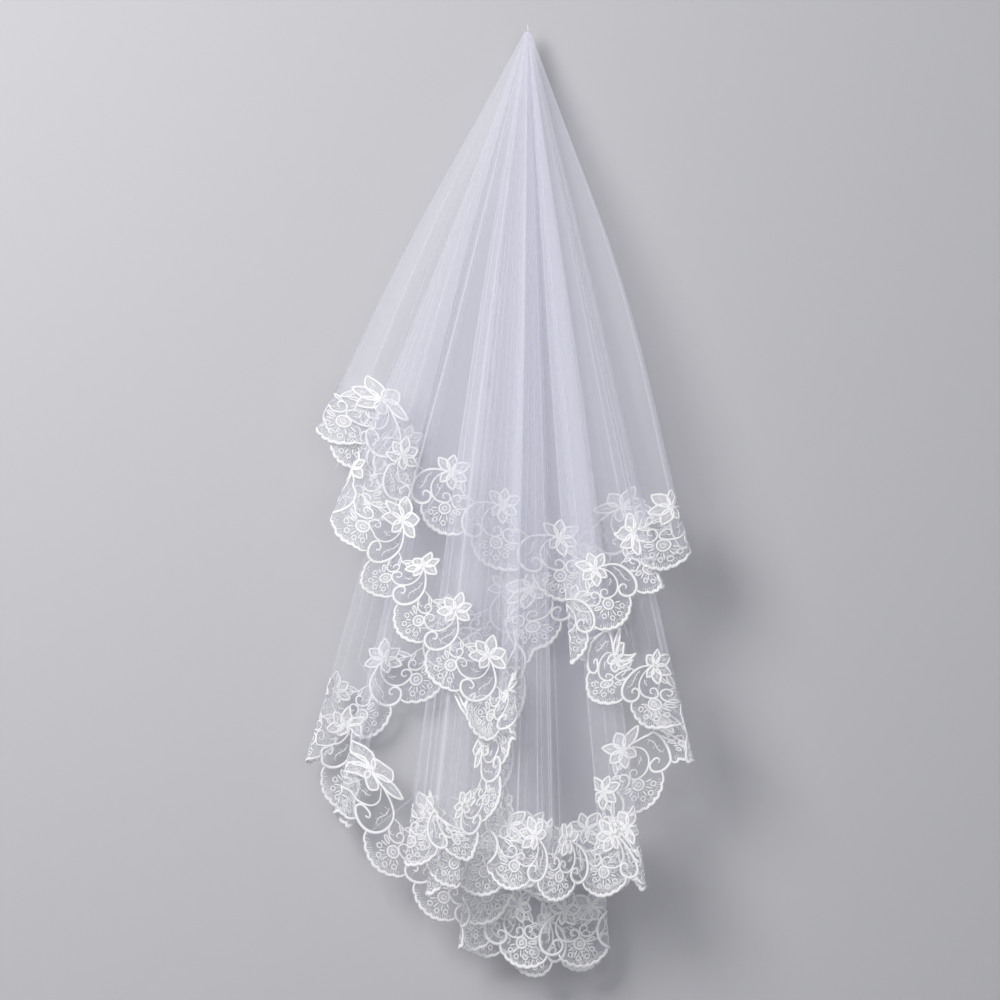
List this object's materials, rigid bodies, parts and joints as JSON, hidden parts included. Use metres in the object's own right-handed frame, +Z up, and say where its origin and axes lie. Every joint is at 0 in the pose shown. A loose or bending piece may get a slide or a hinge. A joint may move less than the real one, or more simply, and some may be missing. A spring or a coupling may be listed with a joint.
{
  "type": "bridal veil",
  "caption": "Sheer white tulle bridal veil with a scalloped floral lace border, pinched to one point and hanging in cascading folds from a fine thread",
  "frame": {"origin": "hanging point: the top end of the thread that holds the pinched veil", "axes": "+Z up along the hang; -Y is the viewed front; +X is to the viewer's right"},
  "size_m": [0.3886, 0.118, 0.9592],
  "materials": {
    "tulle": "sheer fine net, pale lavender white",
    "lace": "white floral embroidery on net",
    "thread": "fine white thread"
  },
  "bodies": {
    "root": {"crown_gather": "tulle", "hanging_thread": "thread", "lace_back": "lace", "lace_bottom_back": "lace", "lace_front_left": "lace", "lace_front_right": "lace", "lace_front_turn": "lace", "lace_inner_back": "lace", "lace_inner_low": "lace", "lace_inner_low_turn": "lace", "lace_inner_rise": "lace", "lace_left_flap": "lace", "lace_left_pleat": "lace", "lace_low_back": "lace", "lace_low_back_left": "lace", "lace_low_back_pleat": "lace", "lace_low_front": "lace", "lace_low_left": "lace", "lace_low_left_pleat": "lace", "lace_low_mid": "lace", "lace_low_mid_pleat": "lace", "lace_low_right": "lace", "lace_low_right_pleat": "lace", "lace_mid_right": "lace", "lace_right_flap": "lace", "lace_right_pleat": "lace", "tulle_back": "tulle", "tulle_bottom_back": "tulle", "tulle_front_left": "tulle", "tulle_front_right": "tulle", "tulle_front_turn": "tulle", "tulle_inner_back": "tulle", "tulle_inner_low": "tulle", "tulle_inner_low_turn": "tulle", "tulle_inner_rise": "tulle", "tulle_left_flap": "tulle", "tulle_left_pleat": "tulle", "tulle_low_back": "tulle", "tulle_low_back_left": "tulle", "tulle_low_back_pleat": "tulle", "tulle_low_front": "tulle", "tulle_low_left": "tulle", "tulle_low_left_pleat": "tulle", "tulle_low_mid": "tulle", "tulle_low_mid_pleat": "tulle", "tulle_low_right": "tulle", "tulle_low_right_pleat": "tulle", "tulle_mid_right": "tulle", "tulle_right_flap": "tulle", "tulle_right_pleat": "tulle"}
  },
  "joints": []
}
